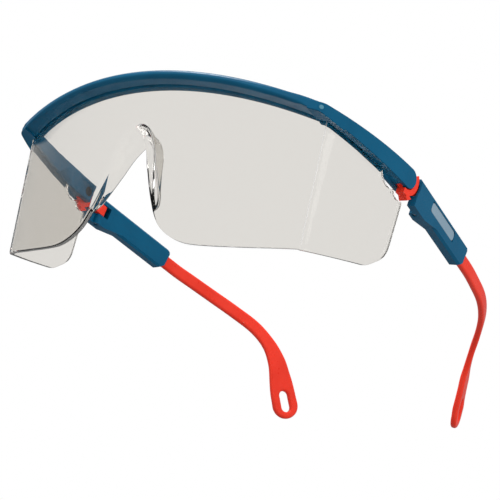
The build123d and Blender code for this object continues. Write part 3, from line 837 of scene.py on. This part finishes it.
def make_floor():
    """Pale floor at z = 0. It is clear from below, and diffuse and glossy rays miss it."""
    mesh = bpy.data.meshes.new("floor")
    corners = [(-FLOOR_HALF, -FLOOR_HALF, 0), (FLOOR_HALF, -FLOOR_HALF, 0), (FLOOR_HALF, FLOOR_HALF, 0),
               (-FLOOR_HALF, FLOOR_HALF, 0)]
    mesh.from_pydata(corners, [], [(0, 1, 2, 3)])
    floor = bpy.data.objects.new("floor", mesh)
    bpy.context.scene.collection.objects.link(floor)
    material, nodes, links, shader = new_material("floor_paper")
    shader.inputs["Base Color"].default_value = (FLOOR_SHADE, FLOOR_SHADE, FLOOR_SHADE, 1.0)
    shader.inputs["Roughness"].default_value = FLOOR_ROUGHNESS
    shader.inputs["Emission Color"].default_value = (1.0, 1.0, 1.0, 1.0)
    shader.inputs["Emission Strength"].default_value = FLOOR_GLOW
    through = nodes.new("ShaderNodeBsdfTransparent")
    facing = nodes.new("ShaderNodeNewGeometry")
    either = nodes.new("ShaderNodeMixShader")
    links.new(facing.outputs["Backfacing"], either.inputs["Fac"])
    links.new(shader.outputs["BSDF"], either.inputs[1])
    links.new(through.outputs["BSDF"], either.inputs[2])
    links.new(either.outputs["Shader"], nodes["Material Output"].inputs["Surface"])
    mesh.materials.append(material)
    floor.visible_diffuse = False
    floor.visible_glossy = False


def area_light(name, place, aim, size, power, shows):
    """Square lamp. shows tells whether glossy surfaces reflect it."""
    data = bpy.data.lights.new(name, "AREA")
    data.shape = "SQUARE"
    data.size = size
    data.energy = power
    light = bpy.data.objects.new(name, data)
    light.location = place
    light.visible_glossy = shows
    light.rotation_euler = (Vector(aim) - Vector(place)).to_track_quat("-Z", "Y").to_euler()
    bpy.context.scene.collection.objects.link(light)


def arithmetic(tree, operation, first, second):
    """A Math node on two values, each a number or a socket."""
    node = tree.nodes.new("ShaderNodeMath")
    node.operation = operation
    for socket, value in zip(node.inputs, (first, second)):
        if isinstance(value, float):
            socket.default_value = value
        else:
            tree.links.new(value, socket)
    return node.outputs["Value"]


def make_world():
    """White surroundings. Diffuse surfaces get less light from below than from above, and glossy ones reflect
    a dimmer white. What is seen through the lens keeps the full white."""
    world = bpy.data.worlds.new("studio")
    world.use_nodes = True
    tree = world.node_tree
    background = tree.nodes["Background"]
    background.inputs["Color"].default_value = (1.0, 1.0, 1.0, 1.0)
    path = tree.nodes.new("ShaderNodeLightPath")
    sky = tree.nodes.new("ShaderNodeTexCoord")
    split = tree.nodes.new("ShaderNodeSeparateXYZ")
    tree.links.new(sky.outputs["Generated"], split.inputs["Vector"])
    rise = arithmetic(tree, "MULTIPLY", split.outputs["Z"], (AMBIENT_ABOVE - AMBIENT_BELOW) / 2)
    missing = arithmetic(tree, "SUBTRACT", 1.0 - (AMBIENT_ABOVE + AMBIENT_BELOW) / 2, rise)
    diffuse_loss = arithmetic(tree, "MULTIPLY", path.outputs["Is Diffuse Ray"], missing)
    glossy_loss = arithmetic(tree, "MULTIPLY", path.outputs["Is Glossy Ray"], 1.0 - GLOSSY_AMBIENT)
    opaque = arithmetic(tree, "SUBTRACT", 1.0, path.outputs["Is Transmission Ray"])
    loss = arithmetic(tree, "MULTIPLY", opaque, arithmetic(tree, "MAXIMUM", diffuse_loss, glossy_loss))
    tree.links.new(arithmetic(tree, "SUBTRACT", 1.0, loss), background.inputs["Strength"])
    bpy.context.scene.world = world


def make_camera():
    """Camera below and in front of the wearer's left, placed in the design frame."""
    data = bpy.data.cameras.new("camera")
    data.sensor_width = SENSOR_MM
    data.lens = FOCAL_MM
    data.clip_start = NEAREST
    camera = bpy.data.objects.new("camera", data)
    turn = Matrix((CAMERA_UP.cross(CAMERA_BACK), CAMERA_UP, CAMERA_BACK)).transposed().to_4x4()
    camera.matrix_world = Matrix.Translation(CAMERA_PLACE) @ turn
    bpy.context.scene.collection.objects.link(camera)
    bpy.context.scene.camera = camera


make_floor()
make_world()
make_camera()
area_light("key", place=(-0.30, -0.35, 0.75), aim=(0.0, -0.05, 0.04), size=0.22, power=6.5, shows=True)
area_light("fill", place=(0.8, -0.1, 0.25), aim=(0.0, 0.0, 0.03), size=0.5, power=2.2, shows=False)
bpy.context.scene.cycles.max_bounces = LIGHT_BOUNCES
bpy.context.scene.cycles.transmission_bounces = LIGHT_BOUNCES
bpy.context.scene.cycles.transparent_max_bounces = LIGHT_BOUNCES
bpy.context.scene.view_settings.view_transform = "Standard"
